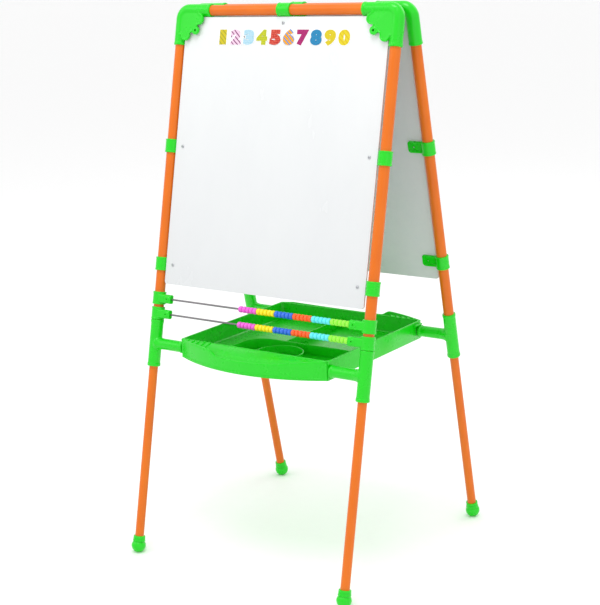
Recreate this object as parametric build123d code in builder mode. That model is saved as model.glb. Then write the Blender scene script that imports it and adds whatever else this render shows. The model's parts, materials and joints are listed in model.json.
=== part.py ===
from build123d import *
from math import atan2, cos, sin
import os

# A double-sided folding easel for children. Millimetres, +Z up, the front faces -Y.
# The origin is on the floor, in the middle between the four feet.
# Each frame is drawn in its own plane: x along the top tube, y up the legs, z out of the board's face,
# with the origin in the middle of the top tube's axis. Distances down a leg are counted from there.

# Overall sizes
leg_spacing = 530.0          # left leg axis to right leg axis
top_height = 1139.8          # floor to the axis of the top tubes
top_spacing = 46.4           # front top tube axis to rear top tube axis
foot_spread = 544.8          # front to rear, where the leg axes meet the floor

# Tubes
upper_tube_r = 11.0
upper_tube_wall = 1.0
lower_tube_wall = 1.0
lower_tube_play = 0.5        # radial gap between the lower tube and the upper tube's bore
tube_overlap = 120.0         # how far a lower tube stands inside its upper tube
press_gap = 0.05             # radial gap where a fitting is pushed on a tube
slide_gap = 0.3              # gap between bodies that slide past each other
pin_gap = 0.05               # radial gap of a running hinge pin
fitting_round = 1.2          # rounded ends of the clips

# Corner fittings
corner_wall = 2.45
corner_bend_margin = 4.5     # bend radius beyond the fitting's own radius
corner_top_reach = 78.0      # from the leg axis along the top tube
corner_leg_reach = 73.0      # from the top tube axis down the leg
corner_seat_margin = 4.0     # the tubes stop this far short of the bend
web_standoff = 3.5           # the scalloped web, this far in front of the board
web_thickness = 4.0
web_root = 9.5               # distance of the web's root from both tube axes
web_side_lobe = (56.0, 22.0)
web_side_lobe_r = 14.0
web_mid_lobe = (46.0, 43.0)
web_mid_lobe_r = 10.0
web_hole_r = 2.75
web_boss_r = 6.0

# Hinge between the two frames
knuckle_gap = 1.2            # between a knuckle and the other frame's corner
knuckle_root_r = 10.0
hinge_pin_r = 3.0
hinge_head_rim = 2.0         # head beyond the pin, all round
hinge_head = 2.0
lug_start = 21.0             # first front knuckle, in from the leg axis
front_lug_width = 10.0
rear_lug_width = 12.0
lug_gap = 0.5                # between knuckles along the pin

# Boards and their clips
board_thickness = 4.0
board_back = 0.5             # back face of the board above the tube axes
board_edge_gap = 0.7
board_rod_gap = 32.2         # from the board's lower edge to the upper rod
board_corner_r = 6.0
clip_wall = 2.95
clip_height = 28.5
upper_clip_place = 286.5
lower_clip_rise = 41.6       # lower clip above the board's lower edge
ear_thickness = 3.0
ear_height = 25.0
ear_reach = 47.0
ear_corner_r = 6.0
ear_screw = 33.0             # screw from the leg axis
top_clip_width = 31.0
top_ear_reach = 41.0
top_ear_screw = 27.0
screw_r = 1.6
screw_play = 0.15
screw_head_rim = 1.9
screw_head = 2.0
screw_head_round = 1.0

# Tee fittings that carry the tray
tee_top = 658.5
tee_length = 101.1
tee_wall = 2.45
tee_stop = 14.6              # the upper tube stops this far above the tee's lower end
arm_drop = 51.1              # arm axis below the tee's top
arm_r = 12.0
arm_ring_rim = 1.2
arm_ring_width = 5.0
arm_ring_set_back = 1.5
tray_pin_r = 5.0
tray_pin_depth = 15.0

# Counting rods and beads
rod_r = 2.0
rod_spacing = 32.5
rod_forward = 7.0            # rods in front of the leg axes
rod_clip_height = 27.0
rod_clip_wall = 2.75
boss_reach = 40.0
boss_height = 19.0
boss_depth = 11.0
boss_corner_r = 4.0
rod_seat = 12.0
bead_r = 6.6
bead_play = 0.3              # radial gap on the rod
bead_pitch = 9.0
bead_gap = 0.3
bead_round = 3.2
bead_round_rest = 0.5        # least width left between a bead's two rounds
beads_per_colour = 5
bead_colours = ("lime", "aqua", "orange", "blue", "yellow", "pink")   # from the right end

# Tray
tray_side_gap = 0.8          # between an arm's end and the tray
tray_half_width = 185.0
tray_end_margin = 8.2        # the basin reaches this far past the arm axes
tray_lip_bow = 49.0          # how far the lips bulge past the basin
tray_wall = 2.5
tray_rim_up = 21.5           # rim above the arm axis
tray_bottom_down = 18.5
tray_corner_r = 8.0
lip_drop = 17.0              # fall of the lip from the rim to its outer wall
lip_low_drop = 15.0          # the outer wall's low stretch below the rim
lip_low_from_left = 115.0    # where the low stretch starts and ends, from the tray's two sides
lip_low_from_right = 33.0
lip_step = 22.0              # length of the slope at each end of the low stretch
divider = 2.2
divider_drop = 7.0           # dividers below the rim
well_from_left = 93.0
well_length = 135.0
well_corner_r = 45.0
cup_x = 16.0
cup_from_front = 70.0
cup_r = 50.0
rear_divider_x = -15.0
pin_boss_rim = 4.0
pin_boss = 4.0
ledge_reach = 6.5            # ledges that rest on the rear arms
ledge_length = 28.0
ledge_from_end = 4.0
ledge_thickness = 3.5
ledge_gap = 0.4              # between a ledge and the arm's ring below it
cut_margin = 5.0             # how far a cut runs past the faces it opens

# Feet and the glides in the lower tubes
foot_bulge = 2.7             # bulb beyond the collar
foot_flat = 1.0              # depth of the flat ground under the foot
foot_collar_wall = 3.25
foot_height = 36.0
foot_shoulder = 11.6         # the collar ends this far above the bulb's centre
glide_play = 0.1             # radial gap between the glide and the upper tube's bore
glide_head = 4.0
glide_length = 16.0

# Worked out from the values above
half_legs = leg_spacing / 2
lean = atan2((foot_spread - top_spacing) / 2, top_height)
front = Plane(origin=(0, -top_spacing / 2, top_height), x_dir=(1, 0, 0), z_dir=(0, -cos(lean), sin(lean)))
rear = Plane(origin=(0, top_spacing / 2, top_height), x_dir=(-1, 0, 0), z_dir=(0, cos(lean), sin(lean)))
upper_bore = upper_tube_r - upper_tube_wall
lower_tube_r = upper_bore - lower_tube_play
lower_bore = lower_tube_r - lower_tube_wall
glide_r = upper_bore - glide_play
bore_r = upper_tube_r + press_gap
corner_r = bore_r + corner_wall
corner_bend_r = corner_r + corner_bend_margin
corner_seat = corner_bend_r + corner_seat_margin
clip_r = bore_r + clip_wall
tee_r = bore_r + tee_wall
rod_clip_r = bore_r + rod_clip_wall
arm_ring_r = arm_r + arm_ring_rim
board_front = board_back + board_thickness
web_back = board_front + web_standoff
screw_hole_r = screw_r + screw_play
screw_head_r = screw_r + screw_head_rim
hinge_y = top_spacing / 2 * sin(lean)
hinge_z = -top_spacing / 2 * cos(lean)
knuckle_r = top_spacing / 2 - corner_r - knuckle_gap
hinge_head_r = hinge_pin_r + hinge_head_rim
first_lug = (lug_start, lug_start + front_lug_width)
rear_lug = (first_lug[1] + lug_gap, first_lug[1] + lug_gap + rear_lug_width)
last_lug = (rear_lug[1] + lug_gap, rear_lug[1] + lug_gap + front_lug_width)
front_lugs = (first_lug, last_lug)
tee_seat = tee_length - tee_stop
upper_tube_end = tee_top + tee_seat
lower_tube_start = upper_tube_end - tube_overlap
arm_place = tee_top + arm_drop
arm_y = top_spacing / 2 + arm_place * sin(lean)
arm_z = top_height - arm_place * cos(lean)
arm_end = tray_half_width + tray_side_gap
lower_rod_place = tee_top - slide_gap - rod_clip_height / 2
upper_rod_place = lower_rod_place - rod_spacing
board_bottom = upper_rod_place - board_rod_gap
clip_places = (upper_clip_place, board_bottom - lower_clip_rise)
boss_end = half_legs - boss_reach
bead_hole_r = rod_r + bead_play
tray_half_depth = arm_y + tray_end_margin
tray_top = arm_z + tray_rim_up
tray_bottom = arm_z - tray_bottom_down
tray_height = tray_top - tray_bottom
tray_floor = tray_bottom + tray_wall
divider_height = tray_height - divider_drop - tray_wall
well_left = well_from_left - tray_half_width
well_back = well_length - tray_half_depth
foot_collar_r = lower_tube_r + press_gap + foot_collar_wall
foot_r = foot_collar_r + foot_bulge
foot_centre = (top_height - foot_r + foot_flat) / cos(lean)
foot_top = top_height / cos(lean) - foot_height
sides = {"left": -1, "right": 1}


def save(piece, name, place=Plane.XY):
    # moves a piece from its frame's plane to its place, names it and writes it
    placed = piece.moved(place.location)
    placed.label = name
    export_step(placed, f"parts/{name}.step")


def tube(start, end, outer_r, inner_r):
    axis = Vector(*end) - Vector(*start)
    with BuildPart() as pipe:
        with BuildSketch(Plane(origin=start, z_dir=axis)):
            Circle(outer_r)
            Circle(inner_r, mode=Mode.SUBTRACT)
        extrude(amount=axis.length)
    return pipe.part


def corner(side, lug_spans):
    leg_x = side * half_legs
    mouth_x = side * (half_legs - corner_top_reach)
    with BuildPart() as fitting:
        with BuildLine() as bend:
            FilletPolyline((mouth_x, 0), (leg_x, 0), (leg_x, -corner_leg_reach), radius=corner_bend_r)
        with BuildSketch(Plane(origin=bend.line @ 0, z_dir=bend.line % 0)):
            Circle(corner_r)
        sweep(path=bend.line)
        # knuckles on the inner side, round the hinge axis
        for near, far in lug_spans:
            low_x = min(side * (half_legs - near), side * (half_legs - far))
            with BuildSketch(Plane(origin=(low_x, 0, 0), x_dir=(0, 1, 0), z_dir=(1, 0, 0))):
                Circle(knuckle_root_r)
                with Locations((hinge_y, hinge_z)):
                    Circle(knuckle_r)
                make_hull()
            extrude(amount=far - near)
        # scalloped web over the board's corner
        with BuildSketch(Plane.XY.offset(web_back)):
            with BuildLine():
                Polyline(
                    (leg_x - side * web_root, -web_root),
                    (leg_x - side * web_side_lobe[0], -web_root),
                    (leg_x - side * web_side_lobe[0], -web_side_lobe[1]),
                    (leg_x - side * web_mid_lobe[0], -web_mid_lobe[1]),
                    (leg_x - side * web_side_lobe[1], -web_side_lobe[0]),
                    (leg_x - side * web_root, -web_side_lobe[0]),
                    close=True,
                )
            make_face()
            with Locations(
                (leg_x - side * web_side_lobe[0], -web_side_lobe[1]),
                (leg_x - side * web_side_lobe[1], -web_side_lobe[0]),
            ):
                Circle(web_side_lobe_r)
            with Locations((leg_x - side * web_mid_lobe[0], -web_mid_lobe[1])):
                Circle(web_mid_lobe_r)
        extrude(amount=web_thickness)
        with BuildSketch(Plane.XY.offset(board_front)):
            with Locations((leg_x - side * web_mid_lobe[0], -web_mid_lobe[1])):
                Circle(web_boss_r)
        extrude(amount=web_back - board_front)
        with BuildSketch(Plane.XY.offset(board_front)):
            with Locations((leg_x - side * web_mid_lobe[0], -web_mid_lobe[1])):
                Circle(web_hole_r)
        extrude(amount=web_back - board_front + web_thickness, mode=Mode.SUBTRACT)
        # sockets for the two tubes, and the hinge bore
        with BuildSketch(Plane(origin=(mouth_x, 0, 0), z_dir=(side, 0, 0))):
            Circle(bore_r)
        extrude(amount=corner_top_reach - corner_seat, mode=Mode.SUBTRACT)
        with BuildSketch(Plane(origin=(leg_x, -corner_leg_reach, 0), z_dir=(0, 1, 0))):
            Circle(bore_r)
        extrude(amount=corner_leg_reach - corner_seat, mode=Mode.SUBTRACT)
        with BuildSketch(Plane(origin=(mouth_x, hinge_y, hinge_z), z_dir=(side, 0, 0))):
            Circle(hinge_pin_r + pin_gap)
        extrude(amount=corner_top_reach, mode=Mode.SUBTRACT)
    return fitting.part


def hinge_pin(side):
    near = front_lugs[0][0]
    far = front_lugs[-1][1]
    low_x = min(side * (half_legs - near), side * (half_legs - far))
    with BuildPart() as pin:
        with BuildSketch(Plane(origin=(low_x, 0, top_height), z_dir=(1, 0, 0))):
            Circle(hinge_pin_r)
        extrude(amount=far - near)
        for end_x in (low_x - hinge_head, low_x + far - near):
            with BuildSketch(Plane(origin=(end_x, 0, top_height), z_dir=(1, 0, 0))):
                Circle(hinge_head_r)
            extrude(amount=hinge_head)
    return pin.part


def side_clips(side):
    leg_x = side * half_legs
    with BuildPart() as clips:
        for place in clip_places:
            with BuildSketch(Plane(origin=(leg_x, -place - clip_height / 2, 0), z_dir=(0, 1, 0))):
                Circle(clip_r)
            extrude(amount=clip_height)
        fillet(clips.edges().filter_by(GeomType.CIRCLE), radius=fitting_round)
        with BuildSketch(Plane.XY.offset(board_back)):
            for place in clip_places:
                middle = leg_x - side * ear_reach / 2
                with Locations((middle, -place)):
                    RectangleRounded(ear_reach, ear_height, ear_corner_r)
        extrude(amount=-ear_thickness)
        with BuildSketch(Plane.XY.offset(board_back)):
            for place in clip_places:
                with Locations((leg_x - side * ear_screw, -place)):
                    Circle(screw_hole_r)
        extrude(amount=-ear_thickness, mode=Mode.SUBTRACT)
        for place in clip_places:
            with BuildSketch(Plane(origin=(leg_x, -place - clip_height / 2, 0), z_dir=(0, 1, 0))):
                Circle(bore_r)
            extrude(amount=clip_height, mode=Mode.SUBTRACT)
    return clips.part


def top_clip():
    with BuildPart() as clip:
        with BuildSketch(Plane(origin=(-top_clip_width / 2, 0, 0), z_dir=(1, 0, 0))):
            Circle(clip_r)
        extrude(amount=top_clip_width)
        fillet(clip.edges().filter_by(GeomType.CIRCLE), radius=fitting_round)
        with BuildSketch(Plane.XY.offset(board_back)):
            with Locations((0, -top_ear_reach / 2)):
                RectangleRounded(ear_height, top_ear_reach, ear_corner_r)
        extrude(amount=-ear_thickness)
        with BuildSketch(Plane.XY.offset(board_back)):
            with Locations((0, -top_ear_screw)):
                Circle(screw_hole_r)
        extrude(amount=-ear_thickness, mode=Mode.SUBTRACT)
        with BuildSketch(Plane(origin=(-top_clip_width / 2, 0, 0), z_dir=(1, 0, 0))):
            Circle(bore_r)
        extrude(amount=top_clip_width, mode=Mode.SUBTRACT)
    return clip.part


def screw_places():
    places = [(0, -top_ear_screw)]
    for side in sides.values():
        for place in clip_places:
            places.append((side * (half_legs - ear_screw), -place))
    return places


def board():
    half_width = half_legs - clip_r - board_edge_gap
    top = clip_r + board_edge_gap
    with BuildPart() as sheet:
        with BuildSketch(Plane.XY.offset(board_back)):
            with Locations((0, -(top + board_bottom) / 2)):
                RectangleRounded(2 * half_width, board_bottom - top, board_corner_r)
            with Locations(*screw_places()):
                Circle(screw_hole_r, mode=Mode.SUBTRACT)
        extrude(amount=board_thickness)
    return sheet.part


def board_screws():
    with BuildPart() as screws:
        with BuildSketch(Plane.XY.offset(board_back - ear_thickness)):
            with Locations(*screw_places()):
                Circle(screw_r)
        extrude(amount=ear_thickness + board_thickness)
        with BuildSketch(Plane.XY.offset(board_front)):
            with Locations(*screw_places()):
                Circle(screw_head_r)
        extrude(amount=screw_head)
        heads = screws.faces().sort_by(Axis.Z)[-len(screw_places()):]
        fillet(heads.edges(), radius=screw_head_round)
    return screws.part


def tee(side):
    leg_x = side * half_legs
    with BuildPart() as fitting:
        with BuildSketch(Plane(origin=(leg_x, -tee_top - tee_length, 0), z_dir=(0, 1, 0))):
            Circle(tee_r)
            Circle(lower_tube_r + slide_gap, mode=Mode.SUBTRACT)
        extrude(amount=tee_length)
        with BuildSketch(Plane(origin=(leg_x, -upper_tube_end, 0), z_dir=(0, 1, 0))):
            Circle(bore_r)
        extrude(amount=tee_seat, mode=Mode.SUBTRACT)
    return fitting.part


def tray_arm(side, has_pin):
    # the tee's branch, from the sleeve's outside to the tray
    leg_x = side * half_legs
    with BuildPart() as arm:
        with BuildSketch(Plane(origin=(leg_x, -arm_place, 0), z_dir=(-side, 0, 0))):
            Circle(arm_r)
        extrude(amount=half_legs - arm_end)
        ring_x = side * (arm_end + arm_ring_set_back + arm_ring_width)
        with BuildSketch(Plane(origin=(ring_x, -arm_place, 0), z_dir=(-side, 0, 0))):
            Circle(arm_ring_r)
        extrude(amount=arm_ring_width)
        with BuildSketch(Plane(origin=(leg_x, -tee_top - tee_length, 0), z_dir=(0, 1, 0))):
            Circle(tee_r)
        extrude(amount=tee_length, mode=Mode.SUBTRACT)
        if has_pin:
            with BuildSketch(Plane(origin=(side * arm_end, -arm_place, 0), z_dir=(side, 0, 0))):
                Circle(tray_pin_r + press_gap)
            extrude(amount=tray_pin_depth, mode=Mode.SUBTRACT)
    return arm.part


def tray_pin(side):
    inner_x = tray_half_width - tray_wall - pin_boss
    outer_x = arm_end + tray_pin_depth
    with BuildPart() as pin:
        with BuildSketch(Plane(origin=(side * outer_x, -arm_y, arm_z), z_dir=(-side, 0, 0))):
            Circle(tray_pin_r)
        extrude(amount=outer_x - inner_x)
    return pin.part


def rod_clip(side, place):
    leg_x = side * half_legs
    with BuildPart() as clip:
        with BuildSketch(Plane(origin=(leg_x, -place - rod_clip_height / 2, 0), z_dir=(0, 1, 0))):
            Circle(rod_clip_r)
        extrude(amount=rod_clip_height)
        fillet(clip.edges().filter_by(GeomType.CIRCLE), radius=fitting_round)
        # block that holds the rod's end
        with BuildSketch(Plane(origin=(side * boss_end, -place, rod_forward), z_dir=(side, 0, 0))):
            RectangleRounded(boss_height, boss_depth, boss_corner_r)
        extrude(amount=boss_reach)
        with BuildSketch(Plane(origin=(leg_x, -place - rod_clip_height / 2, 0), z_dir=(0, 1, 0))):
            Circle(bore_r)
        extrude(amount=rod_clip_height, mode=Mode.SUBTRACT)
        with BuildSketch(Plane(origin=(side * boss_end, -place, rod_forward), z_dir=(side, 0, 0))):
            Circle(rod_r + press_gap)
        extrude(amount=rod_seat, mode=Mode.SUBTRACT)
    return clip.part


def bead_group(index, place):
    first_x = boss_end - bead_gap - index * beads_per_colour * bead_pitch
    rod_axis = Axis((0, -place, rod_forward), (1, 0, 0))
    width = bead_pitch - bead_gap
    with BuildPart() as group:
        with BuildSketch(Plane(origin=(0, -place, rod_forward), z_dir=(0, 0, 1))):
            for count in range(beads_per_colour):
                middle = first_x - width / 2 - count * bead_pitch
                with Locations((middle, (bead_r + bead_hole_r) / 2)):
                    Rectangle(width, bead_r - bead_hole_r)
        revolve(axis=rod_axis, revolution_arc=360)
        circles = group.edges().filter_by(GeomType.CIRCLE)
        rims = circles.filter_by(lambda edge: edge.radius > (bead_r + bead_hole_r) / 2)
        fillet(rims, radius=min(bead_round, (width - bead_round_rest) / 2))
    return group.part


def lip_outline(inset):
    # the basin and both bowed lips in one outline, drawn in by inset
    half_width = tray_half_width - inset
    tip_y = tray_half_depth
    bow_y = tray_half_depth + tray_lip_bow - inset
    with BuildSketch() as outline:
        with BuildLine():
            ThreePointArc((-half_width, -tip_y), (0, -bow_y), (half_width, -tip_y))
            Line((half_width, -tip_y), (half_width, tip_y))
            ThreePointArc((half_width, tip_y), (0, bow_y), (-half_width, tip_y))
            Line((-half_width, tip_y), (-half_width, -tip_y))
        make_face()
    return outline.sketch


def lip_slope(lift):
    # everything above the lips' sloping top face, which is lifted by lift
    inner = tray_half_depth
    outer = tray_half_depth + tray_lip_bow
    with BuildPart() as slope:
        with BuildSketch(Plane.YZ.offset(-tray_half_width)):
            for sign in (-1, 1):
                with BuildLine():
                    Polyline(
                        (sign * inner, tray_top + lift),
                        (sign * outer, tray_top - lip_drop + lift),
                        (sign * outer, tray_top + cut_margin),
                        (sign * inner, tray_top + cut_margin),
                        close=True,
                    )
                make_face()
        extrude(amount=2 * tray_half_width)
    return slope.part


def lip_low_cut():
    # the low stretch of both outer walls; the rear one is the front one turned half round
    start = lip_low_from_left - tray_half_width
    end = tray_half_width - lip_low_from_right
    half_step = lip_step / 2
    with BuildPart() as low:
        for turn in (-1, 1):
            with BuildSketch(Plane(origin=(0, 0, 0), x_dir=(-turn, 0, 0), z_dir=(0, turn, 0))):
                with BuildLine():
                    Polyline(
                        (start - half_step, tray_top + cut_margin),
                        (start - half_step, tray_top),
                        (start + half_step, tray_top - lip_low_drop),
                        (end - half_step, tray_top - lip_low_drop),
                        (end + half_step, tray_top),
                        (end + half_step, tray_top + cut_margin),
                        close=True,
                    )
                make_face()
            extrude(amount=tray_half_depth + tray_lip_bow + cut_margin)
    return low.part


def tray_basin():
    # floor and four walls, with bosses round the two pivot holes
    half_width = tray_half_width
    half_depth = tray_half_depth
    with BuildPart() as basin:
        with BuildSketch(Plane.XY.offset(tray_bottom)):
            Rectangle(2 * half_width, 2 * half_depth)
        extrude(amount=tray_height)
        with BuildSketch(Plane.XY.offset(tray_floor)):
            RectangleRounded(2 * (half_width - tray_wall), 2 * (half_depth - tray_wall), tray_corner_r)
        extrude(amount=tray_height, mode=Mode.SUBTRACT)
        for side in sides.values():
            boss_x = side * (half_width - tray_wall)
            with BuildSketch(Plane(origin=(boss_x, -arm_y, arm_z), z_dir=(-side, 0, 0))):
                Circle(tray_pin_r + pin_boss_rim)
            extrude(amount=pin_boss)
        # the bosses stop at the front wall's outside
        with BuildSketch(Plane.XY.offset(tray_bottom)):
            with Locations((0, -half_depth - tray_lip_bow / 2)):
                Rectangle(2 * half_width, tray_lip_bow)
        extrude(amount=tray_height, mode=Mode.SUBTRACT)
        for side in sides.values():
            with BuildSketch(Plane(origin=(side * arm_end, -arm_y, arm_z), z_dir=(-side, 0, 0))):
                Circle(tray_pin_r + pin_gap)
            extrude(amount=tray_side_gap + tray_wall + pin_boss, mode=Mode.SUBTRACT)
    return basin.part


def tray_ledges():
    # they rest on the rear arms
    ledge_y = tray_half_depth - ledge_from_end - ledge_length / 2
    with BuildPart() as ledges:
        with BuildSketch(Plane.XY.offset(arm_z + arm_ring_r + ledge_gap)):
            for side in sides.values():
                with Locations((side * (tray_half_width + ledge_reach / 2), ledge_y)):
                    Rectangle(ledge_reach, ledge_length)
        extrude(amount=ledge_thickness)
    return ledges.part


def tray_lip(turn):
    # the bowed lip before the basin (turn -1) or behind it (turn 1)
    half_width = tray_half_width
    low_place = Pos(0, 0, tray_bottom - cut_margin)
    full_height = tray_height + 2 * cut_margin
    inner_lips = extrude(lip_outline(tray_wall).moved(low_place), full_height)
    outer_band = extrude(lip_outline(-cut_margin).moved(low_place), full_height) - inner_lips
    lip_space = inner_lips & lip_slope(0)
    under_space = inner_lips - lip_slope(-tray_wall)
    wall_cut = outer_band & lip_low_cut()
    with BuildPart() as lip:
        with BuildSketch(Plane.XY.offset(tray_bottom)):
            add(lip_outline(0))
        extrude(amount=tray_height)
        add(lip_space, mode=Mode.SUBTRACT)
        add(under_space, mode=Mode.SUBTRACT)
        add(wall_cut, mode=Mode.SUBTRACT)
        # keep only what is past the basin on this side
        with BuildSketch(Plane.XY.offset(tray_bottom)):
            with Locations((0, turn * (tray_half_depth + tray_lip_bow / 2))):
                Rectangle(2 * half_width, tray_lip_bow)
        extrude(amount=tray_height, mode=Mode.INTERSECT)
    return lip.part


def tray_well_divider():
    # one wall with a rounded corner, from the front wall to the right-hand wall
    half_width = tray_half_width
    half_depth = tray_half_depth
    with BuildPart() as wall:
        with BuildSketch(Plane.XY.offset(tray_floor)):
            with BuildLine():
                FilletPolyline(
                    (well_left, tray_wall / 2 - half_depth),
                    (well_left, well_back),
                    (half_width - tray_wall / 2, well_back),
                    radius=well_corner_r,
                )
                offset(amount=divider / 2, side=Side.BOTH)
            make_face()
            Rectangle(2 * (half_width - tray_wall), 2 * (half_depth - tray_wall), mode=Mode.INTERSECT)
        extrude(amount=divider_height)
    return wall.part


def tray_cup_ring():
    with BuildPart() as ring:
        with BuildSketch(Plane.XY.offset(tray_floor)):
            with Locations((cup_x, cup_from_front - tray_half_depth)):
                Circle(cup_r + divider)
                Circle(cup_r, mode=Mode.SUBTRACT)
        extrude(amount=divider_height)
    return ring.part


def tray_rear_divider():
    start = well_back + divider / 2
    end = tray_half_depth - tray_wall
    with BuildPart() as wall:
        with BuildSketch(Plane.XY.offset(tray_floor)):
            with Locations((rear_divider_x, (start + end) / 2)):
                Rectangle(divider, end - start)
        extrude(amount=divider_height)
    return wall.part


def foot(side):
    leg_x = side * half_legs
    ground = Plane(origin=(leg_x, -top_height / cos(lean), 0), z_dir=(0, cos(lean), sin(lean)))
    with BuildPart() as cap:
        with BuildSketch(Plane(origin=(leg_x, 0, 0), z_dir=(0, 0, 1))):
            with BuildLine():
                shoulder = foot_centre - foot_shoulder
                Line((0, -foot_top), (foot_collar_r, -foot_top))
                Line((foot_collar_r, -foot_top), (foot_collar_r, -shoulder))
                Line((foot_collar_r, -shoulder), (foot_r, -foot_centre))
                RadiusArc((foot_r, -foot_centre), (0, -foot_centre - foot_r), foot_r)
                Line((0, -foot_centre - foot_r), (0, -foot_top))
            make_face()
        revolve(axis=Axis((leg_x, 0, 0), (0, 1, 0)), revolution_arc=360)
        with BuildSketch(Plane(origin=(leg_x, -foot_centre, 0), z_dir=(0, 1, 0))):
            Circle(lower_tube_r + press_gap)
        extrude(amount=foot_centre - foot_top, mode=Mode.SUBTRACT)
        split(bisect_by=ground, keep=Keep.TOP)
    return cap.part


def leg_glide(side):
    leg_x = side * half_legs
    inner_r = lower_bore - press_gap
    with BuildPart() as plug:
        with BuildSketch(Plane(origin=(leg_x, -lower_tube_start, 0), z_dir=(0, 1, 0))):
            Circle(glide_r)
        extrude(amount=glide_head)
        with BuildSketch(Plane(origin=(leg_x, -lower_tube_start, 0), z_dir=(0, -1, 0))):
            Circle(inner_r)
        extrude(amount=glide_length)
    return plug.part


os.makedirs("parts", exist_ok=True)
tube_end_x = half_legs - corner_seat

for frame_name, frame, turn in (("front", front, 1), ("rear", rear, -1)):
    top_tube = tube((-tube_end_x, 0, 0), (tube_end_x, 0, 0), upper_tube_r, upper_bore)
    save(top_tube, f"{frame_name}_top_tube", frame)
    save(board(), f"{frame_name}_board", frame)
    save(board_screws(), f"{frame_name}_board_screws", frame)
    save(top_clip(), f"{frame_name}_top_clip", frame)
    save(side_clips(-1) + side_clips(1), f"{frame_name}_side_clips", frame)
    has_pins = frame_name == "front"
    save(tray_arm(-1, has_pins) + tray_arm(1, has_pins), f"{frame_name}_arms", frame)
    lug_spans = front_lugs if frame_name == "front" else (rear_lug,)
    for side_name, world_side in sides.items():
        side = world_side * turn
        leg_x = side * half_legs
        save(corner(side, lug_spans), f"{frame_name}_corner_{side_name}", frame)
        leg_tube = tube((leg_x, -corner_seat, 0), (leg_x, -upper_tube_end, 0), upper_tube_r, upper_bore)
        save(leg_tube, f"{frame_name}_upper_leg_{side_name}", frame)
        save(tee(side), f"{frame_name}_tee_{side_name}", frame)
        leg_tube = tube((leg_x, -lower_tube_start, 0), (leg_x, -foot_centre, 0), lower_tube_r, lower_bore)
        save(leg_tube, f"{frame_name}_lower_leg_{side_name}", frame)
        save(foot(side), f"{frame_name}_foot_{side_name}", frame)
        save(leg_glide(side), f"{frame_name}_leg_glide_{side_name}", frame)

save(hinge_pin(-1) + hinge_pin(1), "hinge_pins")
save(tray_pin(-1) + tray_pin(1), "tray_pins")
clips = [rod_clip(side, place) for side in (-1, 1) for place in (upper_rod_place, lower_rod_place)]
save(clips[0] + clips[1:], "rod_clips", front)

for rod_name, place in (("upper", upper_rod_place), ("lower", lower_rod_place)):
    rod_end = boss_end + rod_seat
    rod_start = (-rod_end, -place, rod_forward)
    with BuildPart() as rod:
        with BuildSketch(Plane(origin=rod_start, z_dir=(1, 0, 0))):
            Circle(rod_r)
        extrude(amount=2 * rod_end)
    save(rod.part, f"{rod_name}_rod", front)
    for index, colour in enumerate(bead_colours):
        save(bead_group(index, place), f"{rod_name}_beads_{colour}", front)

save(tray_basin(), "tray_basin")
save(tray_ledges(), "tray_ledges")
save(tray_lip(-1), "tray_front_lip")
save(tray_lip(1), "tray_rear_lip")
save(tray_well_divider(), "tray_well_divider")
save(tray_cup_ring(), "tray_cup_ring")
save(tray_rear_divider(), "tray_rear_divider")
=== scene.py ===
import json
import math
import random

import bmesh
import bpy
from mathutils import Matrix, Vector


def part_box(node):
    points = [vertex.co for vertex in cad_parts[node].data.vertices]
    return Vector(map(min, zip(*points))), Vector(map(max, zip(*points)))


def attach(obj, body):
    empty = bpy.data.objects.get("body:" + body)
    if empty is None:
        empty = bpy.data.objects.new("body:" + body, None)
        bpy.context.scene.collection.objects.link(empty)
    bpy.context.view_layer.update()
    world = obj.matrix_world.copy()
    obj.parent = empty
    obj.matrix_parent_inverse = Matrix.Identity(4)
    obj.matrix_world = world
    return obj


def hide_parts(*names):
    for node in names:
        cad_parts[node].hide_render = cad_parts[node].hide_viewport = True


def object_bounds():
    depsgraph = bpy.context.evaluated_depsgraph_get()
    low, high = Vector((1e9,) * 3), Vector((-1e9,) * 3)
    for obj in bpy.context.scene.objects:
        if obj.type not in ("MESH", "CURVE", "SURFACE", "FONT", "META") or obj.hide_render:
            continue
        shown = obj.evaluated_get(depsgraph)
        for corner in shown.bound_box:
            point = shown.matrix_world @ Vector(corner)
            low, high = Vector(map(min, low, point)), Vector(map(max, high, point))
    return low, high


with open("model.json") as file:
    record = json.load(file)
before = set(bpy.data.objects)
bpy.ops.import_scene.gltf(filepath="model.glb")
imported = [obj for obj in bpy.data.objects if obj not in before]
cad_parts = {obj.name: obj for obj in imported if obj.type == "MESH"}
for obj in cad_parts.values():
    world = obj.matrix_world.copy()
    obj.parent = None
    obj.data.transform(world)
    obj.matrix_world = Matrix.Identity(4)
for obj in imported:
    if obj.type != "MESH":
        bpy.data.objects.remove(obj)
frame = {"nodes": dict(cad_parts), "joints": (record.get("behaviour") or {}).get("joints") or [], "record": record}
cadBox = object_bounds()
nodes = frame["nodes"]
joints = {joint["name"]: joint for joint in frame["joints"]}
sideNames = ("left", "right")


# places on the easel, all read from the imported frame

def planeFor(frameName):
    # a frame's own plane: x along the top tube, y up the legs, z out of the board's face
    low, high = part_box(frameName + "_top_tube")
    up = Vector(joints[frameName + "_leg_left_slide"]["axis"]).normalized()
    across = Vector((1, 0, 0)) if frameName == "front" else Vector((-1, 0, 0))
    out = across.cross(up)
    turn = Matrix((across, up, out)).transposed().to_4x4()
    return Matrix.Translation((low + high) / 2) @ turn


planes = {name: planeFor(name) for name in ("front", "rear")}


def localBox(node, plane, near=()):
    # a node's box in a frame's own plane, or that of its solids near a place: near holds (axis, place, reach)
    back = plane.inverted()
    points = [back @ vertex.co for vertex in nodes[node].data.vertices]
    for axis, place, reach in near:
        points = [point for point in points if abs(point[axis] - place) < reach]
    low = Vector([min(point[axis] for point in points) for axis in range(3)])
    high = Vector([max(point[axis] for point in points) for axis in range(3)])
    return low, high


# shader maths

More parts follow.
